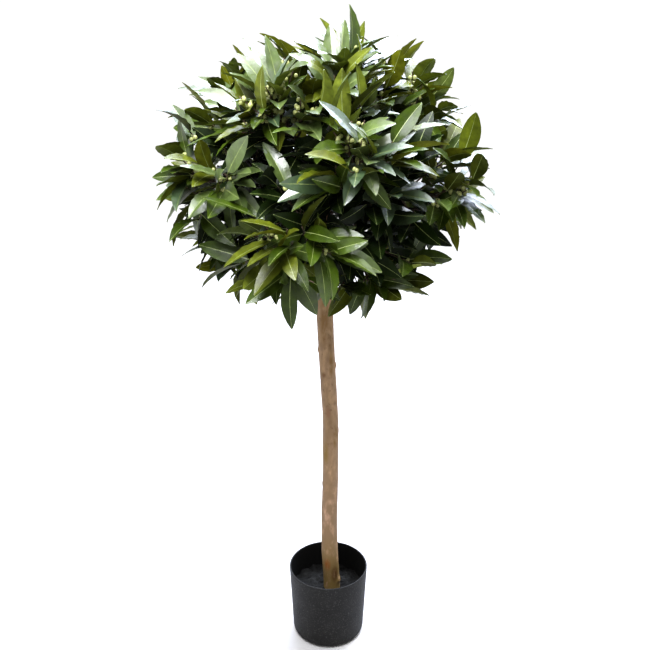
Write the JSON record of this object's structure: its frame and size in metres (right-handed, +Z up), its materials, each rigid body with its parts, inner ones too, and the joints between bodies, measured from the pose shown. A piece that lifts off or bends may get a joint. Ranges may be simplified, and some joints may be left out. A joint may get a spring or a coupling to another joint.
{
  "type": "artificial bay topiary",
  "caption": "Artificial standard bay tree: a ball crown of laurel leaves on boughs from a bare natural wood pole, cast into a plain round plastic pot.",
  "frame": {"origin": "the middle of the pot's flat underside, at the ground", "axes": "+Z up along the pole, -Y towards the front of the plant, +X to its right seen from the front"},
  "size_m": [0.575, 0.5626, 1.247],
  "materials": {
    "pot_plastic": "moulded black plastic with a faint speckle, matte",
    "cement": "dark rough cast cement",
    "pole_wood": "peeled natural wood with small knots, dry",
    "bough_bark": "dark brown wrapped stem, matte",
    "bay_foliage": "coated leaf fabric, satin, dark green above and olive below"
  },
  "bodies": {
    "root": {"pot": "pot_plastic", "pot_fill": "cement", "trunk": "pole_wood", "bough_01": "bough_bark", "foliage_01": "bay_foliage", "bough_02": "bough_bark", "foliage_02": "bay_foliage", "bough_03": "bough_bark", "foliage_03": "bay_foliage", "bough_04": "bough_bark", "foliage_04": "bay_foliage", "bough_05": "bough_bark", "foliage_05": "bay_foliage", "bough_06": "bough_bark", "foliage_06": "bay_foliage", "bough_07": "bough_bark", "foliage_07": "bay_foliage", "bough_08": "bough_bark", "foliage_08": "bay_foliage", "bough_09": "bough_bark", "foliage_09": "bay_foliage", "bough_10": "bough_bark", "foliage_10": "bay_foliage", "bough_11": "bough_bark", "foliage_11": "bay_foliage", "bough_12": "bough_bark", "foliage_12": "bay_foliage", "bough_13": "bough_bark", "foliage_13": "bay_foliage", "bough_14": "bough_bark", "foliage_14": "bay_foliage"}
  },
  "joints": []
}
